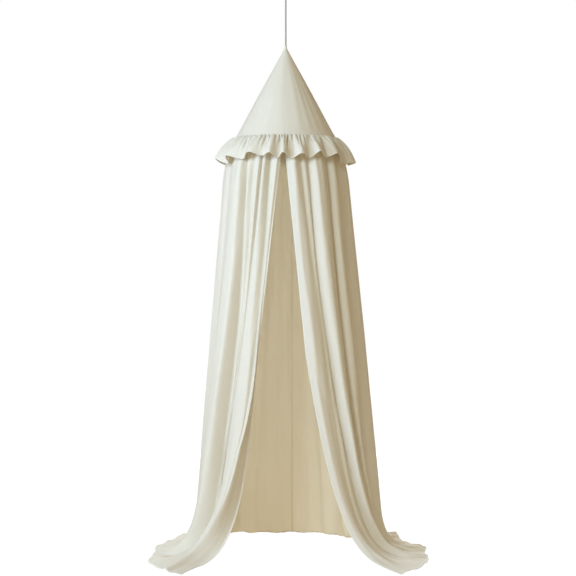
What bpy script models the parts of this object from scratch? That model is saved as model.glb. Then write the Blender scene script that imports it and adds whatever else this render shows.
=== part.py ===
"""Hanging bed canopy: a cloth cone on a hoop, a gathered ruffle round it, and two
long gathered walls that meet at the back, part at the front and trail on the floor.

Metres, +Z up. The origin is the middle of the ceiling plate's top face, and the
opening faces -Y. Heights in the tables are above the floor. A share runs across a
wall from the centre back, 0, to its front edge, 1; a drop runs from the wall's top
seam, 0, to its hem, 1.
"""

import math

import bmesh
import bpy
import numpy as np

# Heights above the floor
CEILING = 2.780
APEX = 2.447
RUFFLE_SEAM = 1.999
SEAM_SAG = 0.008
HOOP_LINE = 1.977
WALL_TOP = 1.976

# Cloth
CLOTH = 0.002
GAP = 0.0003
CONE_SLOPE = 0.5437
CROWN_FOLD = 0.003
CROWN_TIP_RADIUS = 0.0068
WALL_RADIUS = CONE_SLOPE * (APEX - HOOP_LINE) + 0.0012
RUFFLE_BOW = 0.095
SEAM_GAP = 0.0011

# Hoop, rope and ceiling hook
HOOP_RADIUS = 0.2450
HOOP_HEIGHT = 1.982
HOOP_WIRE = 0.0040
ROPE = 0.0080
ROPE_STEP = 0.0180
PLATE_RADIUS = 0.028
PLATE_THICKNESS = 0.006
HOOK_WIRE = 0.0030
HOOK_RADIUS = 0.011
HOOK_CENTRE = 0.029
LOOP_LEGS = 0.0076
KNOT_RADIUS = 0.0128
KNOT_TOP = 0.066
KNOT_LENGTH = 0.023
ROPE_END = 2.417
STOP_KNOT_RADIUS = 0.0115
STOP_KNOT_LENGTH = 0.016

# Where a wall leaves its straight hang and sweeps out over the floor
SWEEP_DROP = 0.72
# Where the gathers reach their full depth below the top seam
GATHER_DROP = 0.090
GATHER_START = 0.03

# A wall's lines of hang: the turn round the hoop from the centre back in degrees,
# the point below which the cloth would stand if it hung straight, the point where
# it lands, its hem, the height at which it starts to sweep out, and how far its
# straight stretch hangs back inside that line.
#    share  turn  foot_x  foot_y  land_x  land_y  hem_x  hem_y  sweep  back
LEFT_RAILS = (
    (0.00, -6.2, 0.0287, 0.440, 0.0287, 0.443, 0.0287, 0.446, 0.05, 0.00),
    (0.10, 12.0, -0.125, 0.440, -0.130, 0.444, -0.132, 0.447, 0.05, 0.00),
    (0.20, 31.0, -0.262, 0.415, -0.280, 0.436, -0.292, 0.448, 0.07, 0.00),
    (0.31, 51.0, -0.350, 0.330, -0.410, 0.385, -0.498, 0.449, 0.16, 0.00),
    (0.43, 73.0, -0.400, 0.200, -0.475, 0.230, -0.572, 0.225, 0.22, 0.00),
    (0.54, 93.0, -0.420, 0.050, -0.500, 0.045, -0.637, 0.025, 0.25, 0.00),
    (0.64, 111.0, -0.415, -0.060, -0.500, -0.080, -0.628, -0.090, 0.26, 0.00),
    (0.71, 124.0, -0.400, -0.120, -0.490, -0.155, -0.636, -0.206, 0.27, 0.00),
    (0.79, 139.0, -0.370, -0.180, -0.475, -0.225, -0.640, -0.340, 0.32, 0.00),
    (0.87, 153.0, -0.320, -0.225, -0.440, -0.270, -0.601, -0.459, 0.40, 0.00),
    (0.93, 164.5, -0.280, -0.252, -0.410, -0.285, -0.545, -0.555, 0.48, 0.00),
    (1.00, 177.3, -0.229, -0.270, -0.368, -0.280, -0.462, -0.640, 0.56, 0.00),
)
RIGHT_RAILS = (
    (0.00, 6.5, 0.0301, 0.440, 0.0301, 0.443, 0.0301, 0.446, 0.05, 0.00),
    (0.10, 22.0, 0.170, 0.425, 0.172, 0.430, 0.176, 0.436, 0.05, 0.00),
    (0.20, 40.0, 0.292, 0.288, 0.300, 0.297, 0.308, 0.308, 0.08, 0.00),
    (0.32, 61.0, 0.392, 0.255, 0.450, 0.320, 0.545, 0.415, 0.16, 0.00),
    (0.44, 83.0, 0.437, 0.100, 0.502, 0.150, 0.588, 0.180, 0.20, 0.00),
    (0.56, 105.0, 0.445, -0.030, 0.530, 0.000, 0.680, 0.035, 0.22, 0.00),
    (0.70, 126.0, 0.428, -0.125, 0.520, -0.140, 0.664, -0.140, 0.26, 0.00),
    (0.80, 144.0, 0.388, -0.190, 0.490, -0.215, 0.668, -0.290, 0.34, 0.02),
    (0.88, 158.0, 0.338, -0.225, 0.445, -0.245, 0.625, -0.455, 0.52, 0.08),
    (0.94, 169.0, 0.297, -0.245, 0.408, -0.245, 0.572, -0.545, 0.74, 0.15),
    (1.00, 181.9, 0.250, -0.262, 0.352, -0.245, 0.512, -0.635, 0.95, 0.23),
)

# A wall's fold lines, crests and dips in turn from the centre back to the front edge:
# each line's share of the wall at the drops in FOLD_DROPS, then its height there.
FOLD_DROPS = (0.0, 0.40, 0.68, 0.82, 1.0)
DIP_CREASE = 0.75
#    share, share, share, share, share, height, height, height, height, height
LEFT_FOLDS = (
    (0.000, 0.000, 0.000, 0.000, 0.000, 0.012, 0.012, 0.012, 0.011, 0.008),
    (0.050, 0.052, 0.050, 0.050, 0.052, 0.001, 0.001, 0.001, 0.001, 0.001),
    (0.082, 0.086, 0.088, 0.090, 0.092, 0.018, 0.014, 0.012, 0.010, 0.006),
    (0.122, 0.120, 0.126, 0.128, 0.130, 0.003, 0.002, 0.001, 0.001, 0.001),
    (0.160, 0.165, 0.160, 0.163, 0.165, 0.024, 0.018, 0.016, 0.012, 0.006),
    (0.206, 0.204, 0.208, 0.206, 0.208, 0.002, 0.001, 0.001, 0.001, 0.001),
    (0.252, 0.250, 0.258, 0.256, 0.255, 0.026, 0.028, 0.026, 0.020, 0.005),
    (0.295, 0.298, 0.302, 0.306, 0.308, 0.003, 0.002, 0.002, 0.001, 0.001),
    (0.338, 0.345, 0.350, 0.362, 0.370, 0.028, 0.030, 0.028, 0.020, 0.005),
    (0.388, 0.392, 0.392, 0.404, 0.410, 0.002, 0.001, 0.002, 0.002, 0.001),
    (0.438, 0.440, 0.434, 0.446, 0.446, 0.029, 0.034, 0.034, 0.024, 0.006),
    (0.488, 0.494, 0.488, 0.494, 0.496, 0.006, 0.006, 0.008, 0.008, 0.002),
    (0.540, 0.545, 0.540, 0.538, 0.535, 0.030, 0.033, 0.031, 0.028, 0.006),
    (0.650, 0.655, 0.650, 0.600, 0.600, 0.012, 0.012, 0.014, 0.022, 0.003),
    (0.768, 0.806, 0.770, 0.740, 0.664, 0.032, 0.052, 0.058, 0.054, 0.006),
    (0.784, 0.844, 0.820, 0.784, 0.690, 0.002, -0.006, -0.010, -0.012, 0.001),
    (0.806, 0.858, 0.823, 0.787, 0.693, 0.016, 0.002, -0.012, -0.013, 0.001),
    (0.836, 0.867, 0.826, 0.790, 0.696, 0.002, -0.002, -0.014, -0.015, 0.001),
    (0.884, 0.874, 0.829, 0.793, 0.699, 0.028, -0.005, -0.016, -0.017, 0.001),
    (0.896, 0.882, 0.832, 0.796, 0.702, 0.002, -0.010, -0.019, -0.020, 0.000),
    (0.911, 0.934, 0.957, 0.898, 0.908, 0.028, 0.023, 0.047, 0.052, 0.006),
    (0.934, 0.972, 0.965, 0.904, 0.916, -0.003, 0.006, 0.045, 0.050, 0.005),
    (0.984, 0.986, 0.982, 0.910, 0.924, 0.028, 0.034, 0.050, 0.057, 0.008),
    (0.993, 0.993, 0.991, 0.942, 0.950, 0.024, 0.030, 0.032, 0.020, 0.001),
    (1.000, 1.000, 1.000, 1.000, 1.000, 0.020, 0.028, 0.010, -0.018, 0.000),
)
RIGHT_FOLDS = (
    (0.000, 0.000, 0.000, 0.000, 0.000, 0.012, 0.012, 0.012, 0.011, 0.008),
    (0.048, 0.050, 0.048, 0.050, 0.050, 0.001, 0.001, 0.001, 0.001, 0.001),
    (0.076, 0.080, 0.078, 0.080, 0.082, 0.017, 0.013, 0.012, 0.010, 0.006),
    (0.114, 0.116, 0.118, 0.120, 0.122, 0.002, 0.002, 0.001, 0.001, 0.001),
    (0.152, 0.155, 0.160, 0.162, 0.165, 0.024, 0.018, 0.017, 0.014, 0.008),
    (0.194, 0.198, 0.202, 0.206, 0.210, 0.002, 0.002, 0.002, 0.001, 0.001),
    (0.235, 0.240, 0.246, 0.255, 0.262, 0.026, 0.030, 0.030, 0.022, 0.010),
    (0.280, 0.286, 0.288, 0.296, 0.302, 0.003, 0.002, 0.003, 0.002, 0.006),
    (0.325, 0.330, 0.328, 0.336, 0.340, 0.028, 0.028, 0.026, 0.020, 0.014),
    (0.372, 0.376, 0.380, 0.386, 0.390, 0.003, 0.003, 0.002, 0.002, 0.002),
    (0.415, 0.420, 0.430, 0.436, 0.440, 0.027, 0.034, 0.038, 0.028, 0.006),
    (0.462, 0.468, 0.482, 0.488, 0.494, 0.006, 0.008, 0.010, 0.014, 0.002),
    (0.512, 0.520, 0.545, 0.552, 0.556, 0.031, 0.037, 0.038, 0.032, 0.006),
    (0.655, 0.700, 0.700, 0.622, 0.604, 0.004, 0.004, 0.006, 0.014, 0.002),
    (0.730, 0.762, 0.748, 0.665, 0.640, 0.026, 0.030, 0.022, 0.022, 0.005),
    (0.748, 0.787, 0.772, 0.712, 0.690, -0.002, -0.001, 0.000, 0.004, 0.001),
    (0.846, 0.860, 0.829, 0.781, 0.752, 0.038, 0.044, 0.047, 0.034, 0.007),
    (0.886, 0.896, 0.854, 0.804, 0.776, -0.003, -0.006, -0.011, -0.008, 0.000),
    (0.914, 0.914, 0.888, 0.855, 0.865, 0.017, 0.003, 0.004, 0.004, 0.006),
    (0.932, 0.927, 0.922, 0.915, 0.922, 0.004, 0.008, 0.014, 0.008, 0.000),
    (0.966, 0.970, 0.964, 0.978, 0.965, 0.027, 0.031, 0.034, 0.024, 0.006),
    (1.000, 1.000, 1.000, 1.000, 1.000, 0.000, 0.000, 0.000, 0.000, 0.000),
)

# The ruffle's fold lines, crests and dips in turn: each line's angle from the front,
# towards +X, how far it leans out from hanging straight, in degrees, and its length
# from seam to hem.
#    angle, lean, length
RUFFLE_FOLDS = (
    (-176.0, 44.0, 0.138), (-167.0, 24.0, 0.140), (-157.0, 41.0, 0.141), (-149.0, 25.0, 0.138),
    (-140.0, 46.0, 0.138), (-129.0, 23.0, 0.140), (-119.0, 43.0, 0.140), (-108.0, 25.0, 0.138),
    (-99.0, 41.0, 0.141), (-92.0, 30.0, 0.138), (-84.0, 45.0, 0.139), (-64.0, 24.0, 0.141),
    (-56.0, 45.0, 0.134), (-42.0, 25.0, 0.125), (-30.0, 48.0, 0.128), (-20.0, 34.0, 0.124),
    (-13.0, 46.0, 0.131), (-7.0, 25.0, 0.124), (-2.0, 46.0, 0.131), (5.0, 24.0, 0.125),
    (13.0, 45.0, 0.134), (22.0, 25.0, 0.123), (28.0, 49.0, 0.126), (38.0, 28.0, 0.121),
    (45.0, 47.0, 0.130), (61.0, 23.0, 0.139), (80.0, 39.0, 0.154), (94.0, 24.0, 0.142),
    (104.0, 42.0, 0.140), (114.0, 25.0, 0.138), (125.0, 45.0, 0.138), (135.0, 23.0, 0.140),
    (145.0, 42.0, 0.141), (154.0, 25.0, 0.138), (164.0, 45.0, 0.138), (174.0, 24.0, 0.140),
)

# The crown's soft folds: an angle from the front and a relative height
CROWN_FOLDS = ((-165, 0.7), (-128, 1.0), (-96, 0.6), (-62, 0.9), (-33, 0.5), (-14, 1.0),
               (9, 0.6), (26, 0.9), (58, 1.0), (90, 0.7), (121, 0.9), (152, 0.6))
CROWN_FOLD_WIDTH = 13.0

# Mesh steps
FOLD_STEPS = 3
WALL_ROWS = (0.0, 0.03, 0.07, 0.13, 0.21, 0.30, 0.39, 0.48, 0.57, 0.65, 0.72,
             0.76, 0.80, 0.84, 0.88, 0.92, 0.96, 1.0)
RUFFLE_STEPS = 3
RUFFLE_ROWS = 3
CROWN_COLUMNS = 48
CROWN_ROWS = 4
HOOP_STEPS = (44, 6)

# Colour, roughness and metallic value of each material
CLOTH_FINISH = ((0.83, 0.80, 0.73, 1.0), 0.90, 0.0)
ROPE_FINISH = ((0.70, 0.69, 0.66, 1.0), 0.85, 0.0)
HOOP_FINISH = ((0.78, 0.76, 0.72, 1.0), 0.50, 0.0)
METAL_FINISH = ((0.72, 0.72, 0.71, 1.0), 0.35, 0.9)


def ease(value):
    """0 to 1 with a level start and end."""
    value = np.clip(value, 0.0, 1.0)
    return value * value * (3.0 - 2.0 * value)


def through(knots, rows, at):
    """A smooth curve through each column of rows, one row at each knot."""
    knots = np.asarray(knots, dtype=float)
    rows = np.asarray(rows, dtype=float)
    slopes = np.gradient(rows, knots, axis=0)
    index = np.clip(np.searchsorted(knots, at, side="right") - 1, 0, len(knots) - 2)
    width = (knots[index + 1] - knots[index])[..., None]
    part = (at - knots[index])[..., None] / width
    rest = 1.0 - part
    return ((1.0 + 2.0 * part) * rest ** 2 * rows[index]
            + part * rest ** 2 * width * slopes[index]
            + part ** 2 * (3.0 - 2.0 * part) * rows[index + 1]
            - part ** 2 * rest * width * slopes[index + 1])


def hang(rails, side, share, drop):
    """The wall without its folds: straight down from the hoop, then a Bezier curve
    that lands on the floor and runs out to the hem. Heights are above the floor."""
    table = np.asarray(rails)
    columns = through(table[:, 0], table[:, 1:], share)
    turn, foot_x, foot_y, land_x, land_y, hem_x, hem_y, sweep, back = np.moveaxis(columns, -1, 0)
    turn = np.radians(turn)
    top_x = side * WALL_RADIUS * np.sin(turn)
    top_y = WALL_RADIUS * np.cos(turn)
    reach = (1.0 - sweep / WALL_TOP) * (1.0 - back)
    knee_x = top_x + (foot_x - top_x) * reach
    knee_y = top_y + (foot_y - top_y) * reach
    fall = np.clip(drop / SWEEP_DROP, 0.0, 1.0)
    run = np.clip((drop - SWEEP_DROP) / (1.0 - SWEEP_DROP), 0.0, 1.0)
    weights = ((1.0 - run) ** 3, 3.0 * run * (1.0 - run) ** 2, 3.0 * run ** 2 * (1.0 - run), run ** 3)
    swept = drop > SWEEP_DROP
    x_swept = sum(w * v for w, v in zip(weights, (knee_x, foot_x, land_x, hem_x)))
    y_swept = sum(w * v for w, v in zip(weights, (knee_y, foot_y, land_y, hem_y)))
    x = np.where(swept, x_swept, top_x + (knee_x - top_x) * fall)
    y = np.where(swept, y_swept, top_y + (knee_y - top_y) * fall)
    z = np.where(swept, weights[0] * sweep, WALL_TOP + (sweep - WALL_TOP) * fall)
    return np.stack([x, y, z], axis=-1)


def folds_at(folds, across, drop):
    """The share and height of the cloth. Across counts evenly from one fold line to
    the next, and the share runs straight between them. Measured from the crest, the
    height falls by a blend of half a cosine, which rounds the dip, and a quarter of
    one, which creases it. Near the top seam the folds are gathered flat."""
    table = np.asarray(folds)
    count = len(FOLD_DROPS)
    lines = through(FOLD_DROPS, np.concatenate([table[:, :count], table[:, count:]]).T, drop)
    step = across * (len(table) - 1)
    line = np.clip(np.floor(step).astype(int), 0, len(table) - 2)
    part = step - line
    share, share_next, height, height_next = (
        np.take_along_axis(lines, line[..., None] + shift, axis=-1)[..., 0]
        for shift in (0, 1, len(table), len(table) + 1))
    leaves_crest = line % 2 == 0
    crest = np.where(leaves_crest, height, height_next)
    dip = np.where(leaves_crest, height_next, height)
    away = np.where(leaves_crest, part, 1.0 - part)
    rounded = 0.5 - 0.5 * np.cos(math.pi * away)
    creased = 1.0 - np.cos(0.5 * math.pi * away)
    lift = crest + (dip - crest) * (rounded + (creased - rounded) * DIP_CREASE)
    flat = np.clip(1.0 - drop / GATHER_DROP, 0.0, 1.0) ** 2
    return share + (share_next - share) * part, lift * (1.0 - (1.0 - GATHER_START) * flat)


def outward(rails, side, share, drop, step=0.004):
    """The unit normal of the wall without its folds, away from the inside."""
    across = hang(rails, side, share + step, drop) - hang(rails, side, share - step, drop)
    down = hang(rails, side, share, drop + step) - hang(rails, side, share, drop - step)
    normal = np.cross(across, down) * side
    return normal / np.maximum(np.linalg.norm(normal, axis=-1, keepdims=True), 1e-9)


def wall_point(rails, folds, side, across, drop):
    """A wall's inner face: the hang, moved along its normal by the folds."""
    share, height = folds_at(folds, across, drop)
    normal = outward(rails, side, np.clip(share, 0.004, 0.996), np.clip(drop, 0.004, 0.996))
    normal[..., 2] *= ease(drop / GATHER_DROP)
    point = hang(rails, side, share, drop) + height[..., None] * normal
    point[..., 2] = np.maximum(point[..., 2], 0.0)
    return point


def crown_radius(angle, height):
    """The cone's outer radius at an angle from the front, in degrees. The soft
    folds stand out between the tip and the hoop and die away at both."""
    fold = np.zeros_like(angle)
    for crest, size in CROWN_FOLDS:
        away = (angle - crest + 180.0) % 360.0 - 180.0
        fold = fold + size * np.exp(-(away / CROWN_FOLD_WIDTH) ** 2)
    part = np.clip((APEX - height) / (APEX - RUFFLE_SEAM), 0.0, 1.0)
    return CONE_SLOPE * (APEX - height) + CROWN_FOLD * fold * (np.sin(math.pi * part) ** 2)


def crown_point(turn, drop):
    """The cone, from its tip round the rope down to the hoop line."""
    angle = turn * 360.0 - 180.0
    tip = APEX - CROWN_TIP_RADIUS / CONE_SLOPE
    height = tip + (HOOP_LINE - tip) * drop
    radius = crown_radius(angle, height)
    return around(angle, radius, height)


def around(angle, radius, height):
    """A point at an angle from the front, which is -Y, towards +X."""
    angle = np.radians(angle)
    return np.stack([radius * np.sin(angle), -radius * np.cos(angle), height], axis=-1)


def seam_height(angle):
    """The height of the ruffle's seam, which sags a little at the front."""
    return RUFFLE_SEAM - SEAM_SAG * (0.5 + 0.5 * np.cos(np.radians(angle))) ** 2


def ruffle_point(turn, drop):
    """The ruffle: turn counts evenly from one fold line to the next. Each line runs
    from the seam down to the hem and leans out, most at a crest and least in a dip,
    with a slight bow outwards."""
    table = np.asarray(RUFFLE_FOLDS)
    steps = turn * len(table)
    index = np.floor(steps).astype(int) % len(table)
    after = (index + 1) % len(table)
    part = steps - np.floor(steps)
    wave = 0.5 - 0.5 * np.cos(math.pi * part)
    angle = table[index, 0] + (table[after, 0] - table[index, 0]) % 360.0 * part
    lean = np.radians(table[index, 1] + (table[after, 1] - table[index, 1]) * wave)
    length = table[index, 2] + (table[after, 2] - table[index, 2]) * wave
    bow = RUFFLE_BOW * np.sin(math.pi * drop)
    out = length * (drop * np.sin(lean) + bow * np.cos(lean))
    down = length * (drop * np.cos(lean) - bow * np.sin(lean))
    seam = seam_height(angle)
    return around(angle, crown_radius(angle, seam) + SEAM_GAP + out, seam - down)


def material(name, finish):
    """A Principled material with one colour, roughness and metallic value."""
    made = bpy.data.materials.new(name)
    made.use_nodes = True
    shader = made.node_tree.nodes["Principled BSDF"]
    shader.inputs["Base Color"].default_value = finish[0]
    shader.inputs["Roughness"].default_value = finish[1]
    shader.inputs["Metallic"].default_value = finish[2]
    made.diffuse_color = finish[0]
    return made


def settle(made, name, finish, parts, origin):
    """Names a piece, gives it its material, and puts it in the part's collection."""
    made.name = name
    made.data.name = name
    made.data.materials.clear()
    made.data.materials.append(material(name + "_finish", finish))
    for group in list(made.users_collection):
        group.objects.unlink(made)
    parts.objects.link(made)
    made.parent = origin
    return made


def cloth(name, columns, rows, place, turn_over, grow, closed, parts, origin):
    """A sheet: a grid whose points are moved by place(across, down), both 0 to 1,
    then given its thickness, outwards where grow is 1 and inwards where it is -1.
    A closed sheet is sewn along its two side edges."""
    bpy.ops.mesh.primitive_grid_add(x_subdivisions=columns, y_subdivisions=rows, size=1.0)
    made = bpy.context.object
    mesh = made.data
    flat = np.empty(len(mesh.vertices) * 3)
    mesh.vertices.foreach_get("co", flat)
    flat = flat.reshape(-1, 3)
    place_now = place(flat[:, 0] + 0.5, 0.5 - flat[:, 1])
    place_now[:, 2] -= CEILING
    mesh.vertices.foreach_set("co", place_now.ravel())
    shell = bmesh.new()
    shell.from_mesh(mesh)
    if closed:
        bmesh.ops.remove_doubles(shell, verts=shell.verts, dist=0.00005)
    if turn_over:
        bmesh.ops.reverse_faces(shell, faces=shell.faces)
    shell.to_mesh(mesh)
    shell.free()
    mesh.shade_smooth()
    thickness = made.modifiers.new("cloth", "SOLIDIFY")
    thickness.thickness = CLOTH
    thickness.offset = grow
    return settle(made, name, CLOTH_FINISH, parts, origin)


def wall(name, rails, folds, side, parts, origin):
    """One of the two gathered walls, with the same steps between each two fold lines."""
    columns = (len(folds) - 1) * FOLD_STEPS
    evenly = np.linspace(0.0, 1.0, len(WALL_ROWS))

    def place(across, down):
        drop = np.interp(down, evenly, WALL_ROWS)
        return wall_point(rails, folds, side, across, drop)

    return cloth(name, columns, len(WALL_ROWS) - 1, place, side > 0, 1, False, parts, origin)


def tube(name, points, radius, sides, finish, parts, origin):
    """A round rope or wire along its points, with closed ends."""
    curve = bpy.data.curves.new(name, "CURVE")
    curve.dimensions = "3D"
    curve.bevel_depth = radius
    curve.bevel_resolution = sides
    curve.use_fill_caps = True
    spline = curve.splines.new("POLY")
    spline.points.add(len(points) - 1)
    for knot, point in zip(spline.points, points):
        knot.co = (*point, 1.0)
    made = bpy.data.objects.new(name, curve)
    bpy.context.scene.collection.objects.link(made)
    return settle(made, name, finish, parts, origin)


def as_mesh(made):
    """A mesh object with the evaluated shape of a curve, whose caps are welded."""
    shape = made.evaluated_get(bpy.context.evaluated_depsgraph_get())
    mesh = bpy.data.meshes.new_from_object(shape)
    weld = bmesh.new()
    weld.from_mesh(mesh)
    bmesh.ops.remove_doubles(weld, verts=weld.verts, dist=0.00001)
    weld.to_mesh(mesh)
    weld.free()
    copy = bpy.data.objects.new(made.name + "_mesh", mesh)
    copy.matrix_world = made.matrix_world
    bpy.data.objects.remove(made)
    return copy


def turned(name, profile, steps, finish, parts, origin):
    """A round piece: a profile of radius and height, top to bottom, spun about Z."""
    mesh = bpy.data.meshes.new(name)
    points = [(radius, 0.0, height) for radius, height in profile]
    mesh.from_pydata(points, [(i, i + 1) for i in range(len(points) - 1)], [])
    made = bpy.data.objects.new(name, mesh)
    bpy.context.scene.collection.objects.link(made)
    screw = made.modifiers.new("turn", "SCREW")
    screw.steps = steps
    screw.render_steps = steps
    screw.use_merge_vertices = True
    screw.merge_threshold = 0.00005
    return settle(made, name, finish, parts, origin)


def hoop(parts, origin):
    """The ring that holds the cone open, just inside its lower edge."""
    bpy.ops.mesh.primitive_torus_add(
        major_segments=HOOP_STEPS[0], minor_segments=HOOP_STEPS[1],
        major_radius=HOOP_RADIUS, minor_radius=HOOP_WIRE,
        location=(0.0, 0.0, HOOP_HEIGHT - CEILING))
    made = bpy.context.object
    made.data.shade_smooth()
    return settle(made, "hoop", HOOP_FINISH, parts, origin)


def barrel(name, radius, top, length, finish, parts, origin):
    """A knot: a short barrel with rounded ends and flat faces where the rope meets."""
    flat = radius * 0.93
    shape = ((0.0, top), (flat, top), (radius, top - length * 0.18),
             (radius, top - length * 0.82), (flat, top - length), (0.0, top - length))
    return turned(name, shape, 20, finish, parts, origin)


def ceiling_hook(parts, origin):
    """A round plate with a flat top and an open hook under it."""
    edge = 0.0015
    shape = ((0.0, 0.0), (PLATE_RADIUS, 0.0), (PLATE_RADIUS, edge - PLATE_THICKNESS),
             (PLATE_RADIUS - edge, -PLATE_THICKNESS), (0.0, -PLATE_THICKNESS))
    plate = turned("ceiling_hook", shape, 28, METAL_FINISH, parts, origin)
    bend = np.radians(np.linspace(66.0, -196.0, 18))
    arc = [(HOOK_RADIUS * math.cos(a), 0.0, HOOK_RADIUS * math.sin(a) - HOOK_CENTRE) for a in bend]
    route = [(0.0, 0.0, -PLATE_THICKNESS * 0.5), (0.0, 0.0, -0.013)] + arc
    wire = as_mesh(tube("hook_wire", route, HOOK_WIRE, 2, METAL_FINISH, parts, origin))
    cutters = bpy.data.collections.new("cutters")
    bpy.context.scene.collection.children.link(cutters)
    cutters.objects.link(wire)
    wire.hide_render = True
    wire.display_type = "WIRE"
    join = plate.modifiers.new("hook", "BOOLEAN")
    join.operation = "UNION"
    join.object = wire
    return plate


def rope_loop(parts, origin):
    """The rope's loop over the hook: two legs and an arch, in the YZ plane."""
    peak = HOOK_CENTRE + HOOK_RADIUS - HOOK_WIRE - GAP - ROPE * 0.5
    spring = peak + LOOP_LEGS
    legs = np.linspace(KNOT_TOP - GAP, spring, 3)[:-1]
    arch = np.radians(np.linspace(0.0, 180.0, 13))
    points = [(0.0, LOOP_LEGS, -z) for z in legs]
    points += [(0.0, LOOP_LEGS * math.cos(a), LOOP_LEGS * math.sin(a) - spring) for a in arch]
    points += [(0.0, -LOOP_LEGS, -z) for z in legs[::-1]]
    return tube("rope_loop", points, ROPE * 0.5, 2, ROPE_FINISH, parts, origin)


def rope(parts, origin):
    """The taut rope, plumb from the upper knot to the stop knot inside the crown."""
    top = -(KNOT_TOP + KNOT_LENGTH + GAP)
    end = ROPE_END - CEILING
    count = round((top - end) / ROPE_STEP) + 1
    points = [(0.0, 0.0, z) for z in np.linspace(top, end, count)]
    return tube("rope", points, ROPE * 0.5, 3, ROPE_FINISH, parts, origin)


def build():
    """Makes every piece of the canopy in one collection."""
    for old in list(bpy.data.objects):
        bpy.data.objects.remove(old)
    parts = bpy.data.collections.new("bed_canopy")
    bpy.context.scene.collection.children.link(parts)
    origin = bpy.data.objects.new("canopy_origin", None)
    parts.objects.link(origin)
    cloth("crown", CROWN_COLUMNS, CROWN_ROWS, crown_point, False, -1, True, parts, origin)
    cloth("ruffle", len(RUFFLE_FOLDS) * RUFFLE_STEPS, RUFFLE_ROWS, ruffle_point, False, 1,
          True, parts, origin)
    wall("wall_left", LEFT_RAILS, LEFT_FOLDS, -1, parts, origin)
    wall("wall_right", RIGHT_RAILS, RIGHT_FOLDS, 1, parts, origin)
    hoop(parts, origin)
    ceiling_hook(parts, origin)
    rope_loop(parts, origin)
    barrel("upper_knot", KNOT_RADIUS, -KNOT_TOP, KNOT_LENGTH, ROPE_FINISH, parts, origin)
    rope(parts, origin)
    barrel("stop_knot", STOP_KNOT_RADIUS, ROPE_END - GAP - CEILING, STOP_KNOT_LENGTH,
           ROPE_FINISH, parts, origin)


build()
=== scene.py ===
"""Looks of the hanging bed canopy: a cloth cone on a hoop, a gathered ruffle round it,
and two long gathered walls that meet at the back, part at the front and trail on the
floor.

Metres, in the frame's own space: the origin is the middle of the ceiling plate's top
face, +Z is up and the opening faces -Y. Heights in the tables are above the floor. A
share runs across a wall from the centre back, 0, to its front edge, 1; a drop runs
from the wall's top seam, 0, to its hem, 1.
"""

import math

import bpy
import numpy as np
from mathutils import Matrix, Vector


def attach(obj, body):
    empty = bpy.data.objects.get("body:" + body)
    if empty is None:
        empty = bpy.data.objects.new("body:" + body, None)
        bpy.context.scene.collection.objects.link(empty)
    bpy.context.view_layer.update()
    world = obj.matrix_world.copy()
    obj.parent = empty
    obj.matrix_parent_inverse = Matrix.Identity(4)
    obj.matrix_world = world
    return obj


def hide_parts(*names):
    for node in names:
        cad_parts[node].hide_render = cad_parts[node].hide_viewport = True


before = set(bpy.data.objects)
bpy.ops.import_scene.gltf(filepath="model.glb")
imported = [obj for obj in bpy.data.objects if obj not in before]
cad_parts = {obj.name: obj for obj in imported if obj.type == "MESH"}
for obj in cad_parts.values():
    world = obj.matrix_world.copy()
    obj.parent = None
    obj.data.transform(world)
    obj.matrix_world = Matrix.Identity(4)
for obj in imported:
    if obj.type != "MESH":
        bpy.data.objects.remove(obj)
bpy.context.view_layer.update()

# Heights above the floor: the ceiling, the cone's tip, the ruffle's seam and its sag at
# the front, the hoop line where the cone ends, and the walls' top seam
CEILING = 2.780
APEX = 2.447
RUFFLE_SEAM = 1.999
SEAM_SAG = 0.008
HOOP_LINE = 1.977
WALL_TOP = 1.976

# Cloth: its full thickness in a hem, one layer of it, and the room between two pieces
CLOTH = 0.002
LAYER = 0.0010
GAP = 0.0003

# Crown: the cone's radius gained for each metre down, the height of its soft folds, its
# radius at the tip, and its collar, which hugs the rope: its top above the tip, its
# radius and how softly it runs into the cone
CONE_SLOPE = 0.5437
CROWN_FOLD = 0.003
COLLAR_TOP = 0.0035
COLLAR_RADIUS = 0.0052
COLLAR_BLEND = 0.0025

# Hoop
HOOP_RADIUS = 0.2450
HOOP_HEIGHT = 1.982
HOOP_WIRE = 0.0040

# Rope: its diameter, the spacing of its route's points, the height where it ends inside
# the crown, the loop's half width and how far its legs reach into the upper knot, and
# the knots at both its ends
ROPE = 0.0080
ROPE_STEP = 0.0180
ROPE_END = 2.417
LOOP_LEGS = 0.0076
LOOP_TUCK = 0.010
KNOT_RADIUS = 0.0128
KNOT_TOP = 0.066
KNOT_LENGTH = 0.023
KNOT_TURNS = 3.2
STOP_KNOT_RADIUS = 0.0115
STOP_KNOT_LENGTH = 0.016
STOP_KNOT_TURNS = 2.3

# A knot's wraps: the rope's radius in them, which is squeezed a little, how far their
# middle stays from the knot's ends, and how far in their own ends are tucked
WRAP_RADIUS = ROPE * 0.46
WRAP_INSET = ROPE * 0.45
WRAP_TUCK = 0.45
WRAP_TUCKS = 3.0

# A rope's three strands: how far they run for one turn, the radius of its core and the
# height of a strand as shares of the rope's radius, the power that rounds a strand, and
# how the rope's ends are rounded
STRANDS = 3
STRAND_PITCH = 0.024
STRAND_CORE = 0.80
STRAND_HEIGHT = 0.22
STRAND_POWER = 0.7
ROPE_TIP = 0.16
ROPE_TIP_LENGTH = 0.6

# Ceiling hook: its plate with rounded edges, below and against the ceiling, its wire
# with rounded ends, and the wire's curl: its radius, its middle, where it starts, and
# its turn in degrees
PLATE_RADIUS = 0.028
PLATE_THICKNESS = 0.006
PLATE_EDGE = 0.0015
PLATE_BACK_EDGE = 0.0004
HOOK_WIRE = 0.0030
HOOK_RADIUS = 0.011
HOOK_CENTRE = 0.029
HOOK_SHANK = 0.013
HOOK_CURL = (66.0, -196.0)
HOOK_TIP = 0.12
HOOK_TIP_LENGTH = 0.8

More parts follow.
